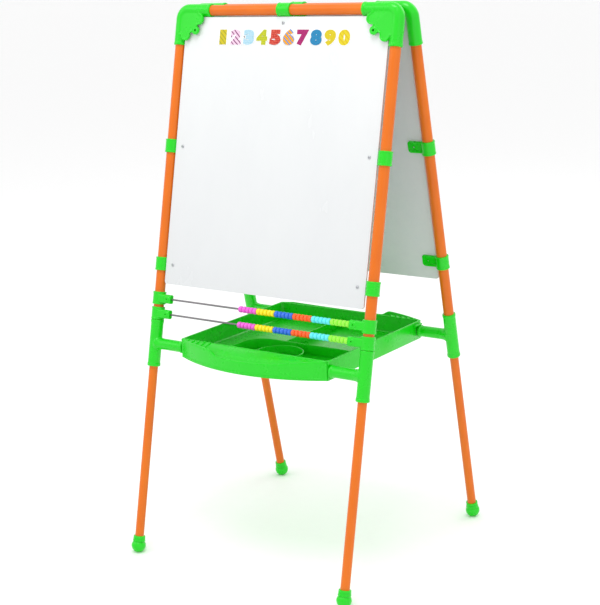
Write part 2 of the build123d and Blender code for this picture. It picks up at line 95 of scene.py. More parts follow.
class Wire:
    # one output socket, with the arithmetic that the materials use
    def __init__(self, sheet, socket):
        self.sheet = sheet
        self.socket = socket

    def maths(self, operation, other=None, swap=False):
        values = [self] if other is None else ([other, self] if swap else [self, other])
        return self.sheet.node("ShaderNodeMath", {"operation": operation}, dict(enumerate(values)))

    def __add__(self, other):
        return self.maths("ADD", other)

    __radd__ = __add__

    def __mul__(self, other):
        return self.maths("MULTIPLY", other)

    __rmul__ = __mul__

    def __sub__(self, other):
        return self.maths("SUBTRACT", other)

    def __rsub__(self, other):
        return self.maths("SUBTRACT", other, swap=True)

    def __gt__(self, other):
        return self.maths("GREATER_THAN", other)

    def __lt__(self, other):
        return self.maths("LESS_THAN", other)


class Sheet:
    # one material's node tree
    def __init__(self, name):
        self.material = bpy.data.materials.new(name)
        self.material.use_nodes = True
        self.tree = self.material.node_tree
        self.tree.nodes.clear()
        self.output = self.tree.nodes.new("ShaderNodeOutputMaterial")

    def node(self, kind, settings=None, inputs=None, output=0):
        made = self.tree.nodes.new(kind)
        for key, value in (settings or {}).items():
            setattr(made, key, value)
        for key, value in (inputs or {}).items():
            socket = made.inputs[key]
            if isinstance(value, Wire):
                self.tree.links.new(value.socket, socket)
            else:
                socket.default_value = value
        return Wire(self, made.outputs[output])

    def place(self, scale=(1, 1, 1), turn=(0, 0, 0), shift=(0, 0, 0)):
        where = self.node("ShaderNodeTexCoord", output="Object")
        return self.node("ShaderNodeMapping", {}, {"Vector": where, "Scale": scale, "Rotation": turn, "Location": shift})

    def noise(self, where, scale, detail=3.0, rough=0.55):
        return self.node(
            "ShaderNodeTexNoise", {}, {"Vector": where, "Scale": scale, "Detail": detail, "Roughness": rough}
        )

    def span(self, value, fromLow, fromHigh, toLow, toHigh):
        return self.node(
            "ShaderNodeMapRange",
            {"clamp": True},
            {"Value": value, "From Min": fromLow, "From Max": fromHigh, "To Min": toLow, "To Max": toHigh},
        )

    def mix(self, factor, first, second, blend="MIX"):
        return self.node(
            "ShaderNodeMix", {"data_type": "RGBA", "blend_type": blend}, {0: factor, 6: first, 7: second}, output=2
        )

    def bump(self, height, strength, distance):
        return self.node("ShaderNodeBump", {}, {"Height": height, "Strength": strength, "Distance": distance})

    def finish(self, **values):
        shader = self.tree.nodes.new("ShaderNodeBsdfPrincipled")
        for key, value in values.items():
            socket = shader.inputs[key.replace("_", " ")]
            if isinstance(value, Wire):
                self.tree.links.new(value.socket, socket)
            else:
                socket.default_value = value
        self.tree.links.new(shader.outputs[0], self.output.inputs["Surface"])
        return self.material


def tint(red, green, blue):
    # a screen colour as the linear one that the shaders take
    return tuple(((c / 255 + 0.055) / 1.055) ** 2.4 if c > 10 else c / 255 / 12.92 for c in (red, green, blue)) + (1,)


def inPlane(sheet, plane):
    # Object coordinates turned into a frame's own plane
    turn = plane.to_quaternion().inverted()
    shift = -(turn @ plane.translation)
    return sheet.place(turn=turn.to_euler(), shift=shift)


# materials

orangePaint = {
    "base": tint(216, 104, 6), "pale": tint(224, 112, 10), "worn": tint(204, 94, 10),
    "peel": 1400, "peelDepth": 0.00004, "rough": (0.3, 0.4), "coat": 0.12, "gloss": 0.3,
}


def paintMaterial():
    sheet = Sheet("orangePaint")
    look = orangePaint
    where = sheet.place()
    clouds = sheet.noise(where, 9, 3)
    scuffs = sheet.span(sheet.noise(where, 130, 6, 0.75), 0.63, 0.72, 0, 1)
    peel = sheet.noise(where, look["peel"], 1)
    colour = sheet.mix(sheet.span(clouds, 0.35, 0.7, 0, 1), look["base"], look["pale"])
    colour = sheet.mix(scuffs * 0.35, colour, look["worn"])
    rough = sheet.span(clouds, 0.3, 0.7, *look["rough"]) + scuffs * 0.15
    normal = sheet.bump(peel, 0.25, look["peelDepth"] * 4)
    return sheet.finish(
        Base_Color=colour, Roughness=rough, Normal=normal, Coat_Weight=look["coat"], Coat_Roughness=0.12, Specular_IOR_Level=look["gloss"],
    )


greenPlastic = {
    "base": tint(10, 206, 10), "deep": tint(6, 198, 8), "pale": tint(50, 220, 46),
    "grain": 2200, "rough": (0.24, 0.32), "glow": 0.1,
}


def plasticMaterial(name="greenPlastic", look=greenPlastic):
    sheet = Sheet(name)
    where = sheet.place()
    flow = sheet.noise(where, 22, 4, 0.6)                      # faint flow marks of the moulding
    specks = sheet.noise(where, 420, 2)
    grain = sheet.noise(where, look["grain"], 2)
    scratches = sheet.noise(sheet.place(scale=(30, 30, 420), turn=(0.4, 0.3, 0.2)), 5, 5, 0.7)
    colour = sheet.mix(sheet.span(flow, 0.3, 0.75, 0, 0.5), look["base"], look["deep"])
    colour = sheet.mix(sheet.span(specks, 0.62, 0.8, 0, 0.18), colour, look["pale"])
    rough = sheet.span(flow, 0.3, 0.7, *look["rough"]) + sheet.span(scratches, 0.6, 0.75, 0, 0.12)
    normal = sheet.bump(grain + flow * 0.4, 0.08, 0.00012)
    return sheet.finish(
        Base_Color=colour, Roughness=rough, Normal=normal, Subsurface_Weight=look["glow"],
        Subsurface_Radius=(0.004, 0.008, 0.003), Subsurface_Scale=0.5, IOR=1.5,
    )


# the white board's darker grey tint serves real smudges and dust, and also paints shade that darkens the face towards
# its bottom
whiteBoard = {"face": tint(223, 225, 225), "smudgeAndShade": tint(208, 210, 212), "edge": tint(224, 225, 227), "back": tint(214, 216, 220)}
chalkBoard = {"face": tint(38, 46, 44), "dust": tint(92, 102, 98), "edge": tint(222, 223, 224), "back": tint(212, 214, 218)}


def boardMaterial(name, frameName, chalk):
    # the drawing face with painted shade towards its bottom, the sawn edges and the pale back of one sheet
    sheet = Sheet(name)
    look = chalkBoard if chalk else whiteBoard
    low, high = localBox(frameName + "_board", planes[frameName])
    where = inPlane(sheet, planes[frameName])
    parts = sheet.tree.nodes.new("ShaderNodeSeparateXYZ")
    sheet.tree.links.new(where.socket, parts.inputs[0])
    x, y, z = (Wire(sheet, parts.outputs[axis]) for axis in range(3))
    isFace = z > high.z - 0.0002
    isBack = z < low.z + 0.0002
    smears = sheet.noise(sheet.place(scale=(1, 1, 0.35), turn=(0, 0.5, 0)), 7, 5, 0.65)
    dust = sheet.noise(where, 60, 6, 0.7)
    if chalk:
        face = sheet.mix(sheet.span(smears * 0.6 + dust * 0.4, 0.42, 0.68, 0, 0.55), look["face"], look["dust"])
        faceRough = sheet.span(dust, 0.3, 0.7, 0.6, 0.85)
    else:
        # painted shade: the white face is mixed towards the darker grey towards the bottom of the board, on top of the
        # real smudges
        lower = sheet.span(y, low.y, high.y, 1, 0)
        face = sheet.mix(sheet.span(smears, 0.35, 0.75, 0, 0.25) + lower * 0.7, look["face"], look["smudgeAndShade"])
        faceRough = sheet.span(smears, 0.3, 0.7, 0.16, 0.3)
    fibres = sheet.noise(where, 900, 3, 0.7)
    edge = sheet.mix(sheet.span(fibres, 0.3, 0.7, 0, 0.5), look["edge"], tint(202, 203, 205))
    back = sheet.mix(sheet.span(dust, 0.35, 0.7, 0, 0.3), look["back"], look["smudgeAndShade"] if not chalk else look["edge"])
    colour = sheet.mix(isFace, sheet.mix(isBack, edge, back), face)
    rough = sheet.node(
        "ShaderNodeMix", {"data_type": "FLOAT"}, {0: isFace, 2: 0.5, 3: faceRough}
    )
    normal = sheet.bump(fibres, 0.05, 0.0001)
    return sheet.finish(Base_Color=colour, Roughness=rough, Normal=normal)


steelLook = {"rod": tint(132, 128, 132), "screw": tint(190, 192, 196), "pin": tint(150, 152, 156)}


def steelMaterial(name, base, stretch=(3, 260, 260)):
    # drawn or plated steel, with lines along the piece
    sheet = Sheet(name)
    lines = sheet.noise(sheet.place(scale=stretch), 6, 4, 0.7)
    stains = sheet.noise(sheet.place(), 70, 4)
    dark = tuple(value * 0.6 for value in base[:3]) + (1,)
    colour = sheet.mix(sheet.span(lines, 0.35, 0.7, 0, 0.6), base, dark)
    rough = sheet.span(stains, 0.3, 0.7, 0.22, 0.4) + sheet.span(lines, 0.4, 0.7, 0, 0.1)
    return sheet.finish(Base_Color=colour, Roughness=rough, Metallic=0.9, Normal=sheet.bump(lines, 0.1, 0.0001))


beadLook = {
    "pink": tint(236, 96, 214), "yellow": tint(250, 226, 16), "blue": tint(40, 110, 220),
    "orange": tint(252, 96, 28), "aqua": tint(96, 232, 240), "lime": tint(150, 242, 64),
}


def beadMaterial(colourName):
    sheet = Sheet("bead" + colourName.title())
    base = beadLook[colourName]
    deep = tuple(value * 0.72 for value in base[:3]) + (1,)
    where = sheet.place()
    swirl = sheet.noise(where, 160, 4, 0.6)
    nicks = sheet.noise(where, 900, 3, 0.7)
    colour = sheet.mix(sheet.span(swirl, 0.35, 0.75, 0, 0.6), base, deep)
    rough = sheet.span(swirl, 0.3, 0.7, 0.16, 0.3) + sheet.span(nicks, 0.62, 0.75, 0, 0.2)
    return sheet.finish(
        Base_Color=colour, Roughness=rough, Normal=sheet.bump(nicks, 0.08, 0.0001), Subsurface_Weight=0.06,
        Subsurface_Radius=(0.003, 0.003, 0.003), Subsurface_Scale=0.5,
    )


orangePaintMaterial = paintMaterial()
greenMaterial = plasticMaterial()
greyMaterial = plasticMaterial(
    "greyPlastic",
    {"base": tint(96, 98, 100), "deep": tint(80, 82, 84), "pale": tint(130, 132, 134), "grain": 2200, "rough": (0.4, 0.55), "glow": 0.0},
)
whiteBoardMaterial = boardMaterial("whiteBoard", "front", False)
chalkBoardMaterial = boardMaterial("chalkBoard", "rear", True)
rodMaterial = steelMaterial("drawnSteel", steelLook["rod"])
screwMaterial = steelMaterial("zincScrew", steelLook["screw"], (200, 200, 200))
pinMaterial = steelMaterial("hingeSteel", steelLook["pin"])
beadMaterials = {name: beadMaterial(name) for name in beadLook}
slotMaterials = {
    "orange_paint": orangePaintMaterial, "green_plastic": greenMaterial, "grey_plastic": greyMaterial,
    "white_board": whiteBoardMaterial, "chalk_board": chalkBoardMaterial, "steel_rod": rodMaterial,
    "screw_zinc": screwMaterial, **{"bead_" + name: material for name, material in beadMaterials.items()},
}
for entry in frame["record"]["subparts"]:
    mesh = nodes[entry["node"]].data
    mesh.materials.clear()
    mesh.materials.append(slotMaterials[entry["material_slot"]])
print("materials ready:", len(slotMaterials))


# piece-building helpers

def addMesh(name, bm, material, body, slotName, *replaced):
    bmesh.ops.recalc_face_normals(bm, faces=bm.faces)
    mesh = bpy.data.meshes.new(name)
    bm.to_mesh(mesh)
    bm.free()
    mesh.materials.append(material)
    piece = bpy.data.objects.new(name, mesh)
    bpy.context.scene.collection.objects.link(piece)
    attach(piece, body)
    if replaced:
        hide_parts(*replaced)
    return piece


def placeAlong(plane, origin, axis):
    # a local frame whose z runs along an axis given in a plane's own coordinates
    z = Vector(axis).normalized()
    helper = Vector((0, 0, 1)) if abs(z.z) < 0.9 else Vector((1, 0, 0))
    x = helper.cross(z).normalized()
    y = z.cross(x)
    return plane @ Matrix.Translation(origin) @ Matrix((x, y, z)).transposed().to_4x4()


def lathe(bm, place, profile, steps=48):
    # turns (radius, height) pairs round the local z axis
    before = set(bm.verts)
    start = [bm.verts.new((radius, 0, height)) for radius, height in profile]
    edges = [bm.edges.new(pair) for pair in zip(start, start[1:])]
    bmesh.ops.spin(
        bm, geom=start + edges, axis=(0, 0, 1), cent=(0, 0, 0), dvec=(0, 0, 0), angle=math.tau, steps=steps,
        use_merge=True, use_duplicate=False,
    )
    bmesh.ops.remove_doubles(bm, verts=[vertex for vertex in bm.verts if vertex not in before], dist=1e-6)
    bmesh.ops.transform(bm, matrix=place, verts=[vertex for vertex in bm.verts if vertex not in before])


def slab(bm, place, outline, low, high, holes=()):
    # a flat plate with any outline and holes, from local z low to high
    edges = []
    verts = []
    for loop in (outline, *holes):
        ring = [bm.verts.new((x, y, low)) for x, y in loop]
        edges += [bm.edges.new((a, b)) for a, b in zip(ring, ring[1:] + ring[:1])]
        verts += ring
    filled = bmesh.ops.triangle_fill(bm, edges=edges, use_beauty=True, use_dissolve=False)
    faces = [item for item in filled["geom"] if isinstance(item, bmesh.types.BMFace)]
    made = bmesh.ops.extrude_face_region(bm, geom=faces)
    top = [item for item in made["geom"] if isinstance(item, bmesh.types.BMVert)]
    bmesh.ops.translate(bm, vec=(0, 0, high - low), verts=top)
    bmesh.ops.transform(bm, matrix=place, verts=verts + top)
    return verts + top


def roundHole(middle, radius, steps=32):
    turns = [math.tau * step / steps for step in range(steps)]
    return [(middle[0] + radius * math.cos(turn), middle[1] + radius * math.sin(turn)) for turn in turns]


def roundedBox(width, height, radius, middle=(0, 0), steps=6):
    points = []
    for corner, (signX, signY) in enumerate(((1, 1), (-1, 1), (-1, -1), (1, -1))):
        for step in range(steps + 1):
            angle = math.radians(90 * corner + 90 * step / steps)
            x = middle[0] + signX * (width / 2 - radius) + radius * math.cos(angle)
            points.append((x, middle[1] + signY * (height / 2 - radius) + radius * math.sin(angle)))
    return points


def applyModifiers(piece):
    # keeps what the modifiers made as the piece's own mesh
    bpy.context.view_layer.update()
    graph = bpy.context.evaluated_depsgraph_get()
    mesh = bpy.data.meshes.new_from_object(piece.evaluated_get(graph))
    piece.modifiers.clear()
    old = piece.data
    piece.data = mesh
    bpy.data.meshes.remove(old)


def moulded(piece, voxel, rounds=6, smooth=0.6):
    # welds overlapping shells into one moulding with soft edges
    remesh = piece.modifiers.new("weld", "REMESH")
    remesh.mode = "VOXEL"
    remesh.voxel_size = voxel
    soften = piece.modifiers.new("soften", "SMOOTH")
    soften.factor = smooth
    soften.iterations = rounds
    applyModifiers(piece)


def drilled(piece, cutterMesh):
    # takes the bores out of a moulding
    cutter = bpy.data.objects.new("cutter", bpy.data.meshes.new("cutter"))
    bmesh.ops.recalc_face_normals(cutterMesh, faces=cutterMesh.faces)
    cutterMesh.to_mesh(cutter.data)
    cutterMesh.free()
    bpy.context.scene.collection.objects.link(cutter)
    cut = piece.modifiers.new("bores", "BOOLEAN")
    cut.operation = "DIFFERENCE"
    cut.solver = "MANIFOLD"
    cut.object = cutter
    applyModifiers(piece)
    bpy.data.objects.remove(cutter)


def smoothShaded(piece, angle=35):
    # smooth shading that stays crisp over sharp edges
    bm = bmesh.new()
    bm.from_mesh(piece.data)
    for face in bm.faces:
        face.smooth = True
    for edge in bm.edges:
        edge.smooth = edge.calc_face_angle(0) < math.radians(angle)
    bm.to_mesh(piece.data)
    bm.free()


def rod(bm, place, radius, low, high, steps=48):
    return lathe(bm, place, [(0, low), (radius, low), (radius, high), (0, high)], steps)


# corner fittings

cornerLook = {
    "wall": 0.00245, "rim": 0.0007, "rimLength": 0.006, "bend": 0.018, "seat": 0.022, "voxel": 0.0008,
    "webBack": 0.008, "webFront": 0.012, "webRoot": 0.0, "sideLobe": (0.053, 0.020), "sideLobeRadius": 0.0115,
    "midLobe": (0.046, 0.043), "midLobeRadius": 0.0088, "hole": 0.00275, "bossRadius": 0.006,
    "knuckleRoot": 0.010, "ridge": 0.0012,
}


def webOutline(look):
    # farthest edge of the web, lobe by lobe, seen from a point inside it
    inside = Vector((0.025, 0.025))
    sideX, sideY = look["sideLobe"]
    discs = [
        (Vector((sideX, sideY)), look["sideLobeRadius"]), (Vector((sideY, sideX)), look["sideLobeRadius"]),
        (Vector(look["midLobe"]), look["midLobeRadius"]),
    ]
    root = look["webRoot"]
    polygon = [(root, root), (sideX, root), (sideX, sideY), look["midLobe"], (sideY, sideX), (root, sideX)]
    outline = []
    for step in range(180):
        turn = math.tau * step / 180
        ray = Vector((math.cos(turn), math.sin(turn)))
        reach = 0
        for centre, radius in discs:
            gap = centre - inside
            along = gap.dot(ray)
            across = radius ** 2 - (gap.length_squared - along ** 2)
            if across > 0 and along > 0:
                reach = max(reach, along + math.sqrt(across))
        for first, second in zip(polygon, polygon[1:] + polygon[:1]):
            start = Vector(first) - inside
            edge = Vector(second) - Vector(first)
            cross = ray.x * edge.y - ray.y * edge.x
            if abs(cross) > 1e-12:
                distance = (start.x * edge.y - start.y * edge.x) / cross
                share = (start.x * ray.y - start.y * ray.x) / cross
                if distance > 0 and 0 <= share <= 1:
                    reach = max(reach, distance)
        outline.append(inside + ray * reach)
    return [tuple(point) for point in outline]


def elbow(bm, place, radius, bend, straight, steps=14, around=40):
    # a solid bend from along +x to along +y of its own plane, with short straight ends
    path = [(Vector((bend + straight, 0, 0)), 0)]
    for step in range(steps + 1):
        turn = math.radians(90 * step / steps)
        path.append((Vector((bend - bend * math.sin(turn), bend - bend * math.cos(turn), 0)), turn))
    path.append((Vector((0, bend + straight, 0)), math.radians(90)))
    rings = []
    for centre, turn in path:
        out = Vector((math.sin(turn), math.cos(turn), 0))
        ring = []
        for count in range(around):
            angle = math.tau * count / around
            ring.append(bm.verts.new(centre + out * radius * math.cos(angle) + Vector((0, 0, radius * math.sin(angle)))))
        rings.append(ring)
    for near, far in zip(rings, rings[1:]):
        for count in range(around):
            bm.faces.new((near[count], near[(count + 1) % around], far[(count + 1) % around], far[count]))
    bm.faces.new(rings[0])
    bm.faces.new(rings[-1])
    bmesh.ops.transform(bm, matrix=place, verts=[vertex for ring in rings for vertex in ring])


def hullOutline(first, firstRadius, second, secondRadius, steps=24):
    # two discs and their common tangents
    gap = Vector(second) - Vector(first)
    lean = math.atan2(gap.y, gap.x)
    spread = math.acos(max(-1, min(1, (firstRadius - secondRadius) / gap.length)))
    points = []
    for step in range(steps + 1):
        turn = lean + spread + (math.tau - 2 * spread) * step / steps
        points.append((first[0] + firstRadius * math.cos(turn), first[1] + firstRadius * math.sin(turn)))
    for step in range(steps + 1):
        turn = lean - spread + 2 * spread * step / steps
        points.append((second[0] + secondRadius * math.cos(turn), second[1] + secondRadius * math.sin(turn)))
    return points


def makeCorner(frameName, sideName):
    look = cornerLook
    plane = planes[frameName]
    node = frameName + "_corner_" + sideName
    low, high = localBox(node, plane)
    legLow, legHigh = localBox(frameName + "_upper_leg_" + sideName, plane)
    tube = (legHigh.x - legLow.x) / 2
    legX = (legLow.x + legHigh.x) / 2
    inward = -1 if legX > 0 else 1
    outer = tube + look["wall"]
    topReach = abs((low.x if inward < 0 else high.x) - legX)
    legReach = -low.y
    # the fitting's own frame: x in along the top tube, y down the leg, z out of the board's face
    own = plane @ Matrix.Translation((legX, 0, 0)) @ Matrix.Diagonal((inward, -1, 1, 1))
    bm = bmesh.new()
    elbow(bm, own, outer, look["bend"], look["seat"] - look["bend"] + 0.002)
    for axis, reach in (((1, 0, 0), topReach), ((0, 1, 0), legReach)):
        rim = reach - look["rimLength"]
        profile = [(0, look["bend"]), (outer, look["bend"]), (outer, rim), (outer + look["rim"], rim + 0.0012)]
        profile += [(outer + look["rim"], reach - 0.0004), (outer + look["rim"] - 0.0006, reach), (0, reach)]
        lathe(bm, placeAlong(own, (0, 0, 0), axis), profile)
    outline = webOutline(look)
    slab(bm, own, outline, look["webBack"], look["webFront"])
    # a raised edge round the web, and the boss that stands on the board
    inner = [(0.025 + (x - 0.025) * 0.9, 0.025 + (y - 0.025) * 0.9) for x, y in outline]
    slab(bm, own, outline, look["webFront"] - 0.001, look["webFront"] + look["ridge"], [inner])
    boardTop = localBox(frameName + "_board", plane)[1].z
    slab(bm, own, roundHole(look["midLobe"], look["bossRadius"]), boardTop, look["webBack"] + 0.001)
    slab(bm, own, roundHole(look["midLobe"], look["bossRadius"]), look["webFront"] - 0.001, look["webFront"] + look["ridge"])
    # knuckles round the hinge axis
    hinge = plane.inverted() @ Vector(joints["frame_fold"]["pos_m"])
    pinLow, pinHigh = localBox("hinge_pins", Matrix.Identity(4), [(0, (plane @ Vector((legX, 0, 0))).x, 0.1)])
    knuckle = abs(hinge.z) - outer - 0.0012
    spans = knuckleSpans(frameName, pinLow, pinHigh)
    across = Matrix(((0, 0, 1), (1, 0, 0), (0, 1, 0))).to_4x4()
    for near, far in spans:
        slab(bm, own @ across, hullOutline((0, 0), look["knuckleRoot"], (-hinge.y, hinge.z), knuckle), near, far)
    piece = addMesh(node + "_moulding", bm, greenMaterial, frameName + "_frame", "green_plastic", node)
    moulded(piece, look["voxel"])
    cutter = bmesh.new()
    rod(cutter, placeAlong(own, (0, 0, 0), (1, 0, 0)), tube + 0.00005, look["seat"], topReach + 0.01, 64)
    rod(cutter, placeAlong(own, (0, 0, 0), (0, 1, 0)), tube + 0.00005, look["seat"], legReach + 0.01, 64)
    rod(cutter, placeAlong(own, (look["midLobe"][0], look["midLobe"][1], 0), (0, 0, 1)), look["hole"], boardTop - 0.001, 0.03, 32)
    rod(cutter, placeAlong(own, (0, -hinge.y, hinge.z), (1, 0, 0)), 0.00305, 0.005, topReach + 0.01, 32)
    drilled(piece, cutter)
    smoothShaded(piece)
    return piece


def knuckleSpans(frameName, pinLow, pinHigh):
    # distances in from the leg axis; the rear knuckle stands between the two front ones
    head = 0.002
    legSpan = (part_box("front_upper_leg_right")[0].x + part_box("front_upper_leg_right")[1].x) / 2
    reach = sorted(legSpan - abs(x) for x in (pinLow.x, pinHigh.x))
    first = reach[0] + head
    last = reach[1] - head
    width = 0.010
    if frameName == "front":
        return [(first, first + width), (last - width, last)]
    return [(first + width + 0.0005, last - width - 0.0005)]


# clips on the tubes

clipLook = {"wall": 0.00295, "round": 0.0014, "voxel": 0.0006, "earCorner": 0.006, "waist": 0.0006, "hole": 0.00175}


def legAxis(frameName, sideName):
    low, high = localBox(frameName + "_upper_leg_" + sideName, planes[frameName])
    return (low.x + high.x) / 2, (high.x - low.x) / 2


def softRod(bm, place, radius, low, high, rounding, steps=48):
    # a solid disc or cylinder with rounded rims
    turns = [math.radians(90 * step / 5) for step in range(6)]
    lower = [(radius - rounding + rounding * math.sin(turn), low + rounding - rounding * math.cos(turn)) for turn in turns]
    upper = [(radius - rounding + rounding * math.cos(turn), high - rounding + rounding * math.sin(turn)) for turn in turns]
    return lathe(bm, place, [(0, low), *lower, *upper, (0, high)], steps)


def makeClips(frameName, node, axisPlace, tube, spots, ending=""):
    # collars on one tube, each with an ear behind the board; a spot is (low, high, ear reach, screw) along the tube
    look = clipLook
    bm = bmesh.new()
    boardBack = localBox(frameName + "_board", planes[frameName])[0].z
    for low, high, reach, screw in spots:
        middle = (low + high) / 2
        outer = tube + look["wall"]
        softRod(bm, axisPlace, outer, low, high, look["round"])
        for rim in (low, high):
            inner = rim + (0.0035 if rim == low else -0.0035)
            softRod(bm, axisPlace, outer + look["waist"], min(rim, inner), max(rim, inner), look["round"])
        ear = roundedBox(reach, 0.025, look["earCorner"], (reach / 2, middle))
        slab(bm, axisPlace @ Matrix(((1, 0, 0), (0, 0, 1), (0, 1, 0))).to_4x4(), ear, boardBack - 0.003, boardBack)
        rib = roundedBox(reach - 0.006, 0.004, 0.0015, ((reach - 0.006) / 2, middle))
        for shift in (-0.0095, 0.0095):
            ridge = [(x, y + shift) for x, y in rib]
            slab(bm, axisPlace @ Matrix(((1, 0, 0), (0, 0, 1), (0, 1, 0))).to_4x4(), ridge, boardBack - 0.0055, boardBack - 0.001)
    piece = addMesh(node + ending + "_moulding", bm, greenMaterial, frameName + "_frame", "green_plastic", node)
    moulded(piece, look["voxel"], 4, 0.5)
    cutter = bmesh.new()
    for low, high, reach, screw in spots:
        middle = (low + high) / 2
        rod(cutter, axisPlace, tube + 0.00005, low - 0.005, high + 0.005, 64)
        spot = axisPlace @ Matrix.Translation((screw, 0, middle)) @ Matrix(((1, 0, 0), (0, 0, 1), (0, 1, 0))).to_4x4()
        rod(cutter, spot, look["hole"], boardBack - 0.01, boardBack + 0.004, 24)
    drilled(piece, cutter)
    smoothShaded(piece)
    return piece


def makeSideClips(frameName, sideName):
    plane = planes[frameName]
    node = frameName + "_side_clips"
    legX, tube = legAxis(frameName, sideName)
    low, high = localBox(node, plane, [(0, legX, 0.1)])
    inward = -1 if legX > 0 else 1
    reach = max(abs(low.x - legX), abs(high.x - legX))
    height = 0.0285
    # local x in towards the board, y out of the board's face, z up the leg
    own = plane @ Matrix.Translation((legX, 0, 0)) @ Matrix(((inward, 0, 0), (0, 0, 1), (0, 1, 0))).to_4x4()
    spots = [(high.y - height, high.y, reach, 0.033), (low.y, low.y + height, reach, 0.033)]
    return makeClips(frameName, node, own, tube, spots, "_" + sideName)


def makeTopClip(frameName):
    plane = planes[frameName]
    node = frameName + "_top_clip"
    low, high = localBox(node, plane)
    tubeLow, tubeHigh = localBox(frameName + "_top_tube", plane)
    # local x down the board, y out of its face, z along the top tube
    own = plane @ Matrix(((0, 0, 1), (-1, 0, 0), (0, 1, 0))).to_4x4()
    return makeClips(frameName, node, own, (tubeHigh.y - tubeLow.y) / 2, [(low.x, high.x, -low.y, 0.027)])


# tees with their arms

teeLook = {
    "wall": 0.00245, "rim": 0.0008, "round": 0.0012, "flare": 0.0034, "voxel": 0.0008, "stop": 0.0146,
    "ring": 0.0012, "ringWidth": 0.005, "setBack": 0.0015,
}


def makeTee(frameName, sideName):
    look = teeLook
    plane = planes[frameName]
    node = frameName + "_tee_" + sideName
    arm = frameName + "_arms"
    legX, tube = legAxis(frameName, sideName)
    inward = -1 if legX > 0 else 1
    low, high = localBox(node, plane)
    armLow, armHigh = localBox(arm, plane, [(0, legX, 0.2)])
    armY = (armLow.y + armHigh.y) / 2
    armRadius = (armHigh.y - armLow.y) / 2 - look["ring"]
    armEnd = max(abs(armLow.x - legX), abs(armHigh.x - legX))
    outer = tube + look["wall"]
    upright = placeAlong(plane, (legX, 0, 0), (0, 1, 0))
    bm = bmesh.new()
    softRod(bm, upright, outer, low.y, high.y, look["round"])
    softRod(bm, upright, outer + look["rim"], low.y, low.y + 0.007, look["round"])
    softRod(bm, upright, outer + look["rim"], high.y - 0.007, high.y, look["round"])
    branch = placeAlong(plane, (legX, armY, 0), (inward, 0, 0))
    profile = [(0, 0), (outer - 0.0006, 0)]
    for step in range(9):
        share = step / 8
        profile.append((armRadius + look["flare"] * (1 - share) ** 2, outer * 0.62 + 0.016 * share))
    ringEnd = armEnd - look["setBack"]
    ringStart = ringEnd - look["ringWidth"]
    thick = armRadius + look["ring"]
    profile += [
        (armRadius, ringStart - 0.0008), (thick, ringStart), (thick, ringEnd), (armRadius, ringEnd + 0.0005),
        (armRadius, armEnd - 0.0004), (armRadius - 0.0008, armEnd), (0, armEnd),
    ]
    lathe(bm, branch, profile)
    piece = addMesh(node + "_moulding", bm, greenMaterial, frameName + "_frame", "green_plastic", node, arm)
    moulded(piece, look["voxel"])
    legLow, legHigh = localBox(frameName + "_lower_leg_" + sideName, plane)
    cutter = bmesh.new()
    rod(cutter, upright, (legHigh.x - legLow.x) / 2 + 0.0003, low.y - 0.01, high.y, 64)
    drilled(piece, cutter)
    cutter = bmesh.new()
    rod(cutter, upright, tube + 0.00005, low.y + look["stop"], high.y + 0.01, 64)
    drilled(piece, cutter)
    if frameName == "front":
        pinLow, pinHigh = localBox("tray_pins", plane, [(0, legX, 0.2)])
        pinRadius = (pinHigh.y - pinLow.y) / 2
        depth = armEnd - min(abs(pinLow.x - legX), abs(pinHigh.x - legX))
        cutter = bmesh.new()
        rod(cutter, branch, pinRadius + 0.00005, armEnd - depth, armEnd + 0.01, 48)
        drilled(piece, cutter)
    smoothShaded(piece)
    return piece


# clips that hold the counting rods

rodClipLook = {"near": 0.0155, "wall": 0.00275, "round": 0.0012, "voxel": 0.0006, "corner": 0.004, "boss": 0.0016, "bossRadius": 0.0062}


def makeRodClip(rowName, sideName):
    look = rodClipLook
    plane = planes["front"]
    node = "rod_clips"
    legX, tube = legAxis("front", sideName)
    inward = -1 if legX > 0 else 1
    rodLow, rodHigh = localBox(rowName + "_rod", plane)
    low, high = localBox(node, plane, [(0, legX, 0.1), (1, (rodLow.y + rodHigh.y) / 2, look["near"])])
    rodZ = (rodLow.z + rodHigh.z) / 2
    rodRadius = (rodHigh.z - rodLow.z) / 2
    middle = (low.y + high.y) / 2
    reach = max(abs(low.x - legX), abs(high.x - legX))
    upright = placeAlong(plane, (legX, 0, 0), (0, 1, 0))
    bm = bmesh.new()
    outer = tube + look["wall"]
    softRod(bm, upright, outer, low.y, high.y, look["round"])
    softRod(bm, upright, outer + 0.0006, low.y, low.y + 0.004, look["round"])
    softRod(bm, upright, outer + 0.0006, high.y - 0.004, high.y, look["round"])
    # the block for the rod's end, with a round boss on its face
    across = plane @ Matrix.Translation((legX, middle, rodZ)) @ Matrix(((0, 0, inward), (1, 0, 0), (0, 1, 0))).to_4x4()
    slab(bm, across, roundedBox(0.019, 0.011, look["corner"]), 0.002, reach)
    softRod(bm, across, 0.0062, reach - 0.006, reach - 0.0001, 0.001, 32)
    bossPlace = placeAlong(plane, (legX + inward * (reach - 0.0095), middle, rodZ), (0, 0, 1))
    softRod(bm, bossPlace, look["bossRadius"], 0, 0.0055 + look["boss"], 0.0008, 40)
    name = rowName + "_rod_clip_" + sideName + "_moulding"
    piece = addMesh(name, bm, greenMaterial, "front_frame", "green_plastic", node)
    moulded(piece, look["voxel"], 4, 0.5)
    cutter = bmesh.new()
    rod(cutter, upright, tube + 0.00005, low.y - 0.01, high.y + 0.01, 64)
    drilled(piece, cutter)
    cutter = bmesh.new()
    rod(cutter, across, rodRadius + 0.00005, reach - 0.012, reach + 0.01, 32)
    drilled(piece, cutter)
    cutter = bmesh.new()
    rod(cutter, bossPlace, 0.0016, 0.0045, 0.02, 24)
    drilled(piece, cutter)
    smoothShaded(piece)
    return piece


# feet

footLook = {"collarRound": 0.0012, "groove": 0.0007, "steps": 64}


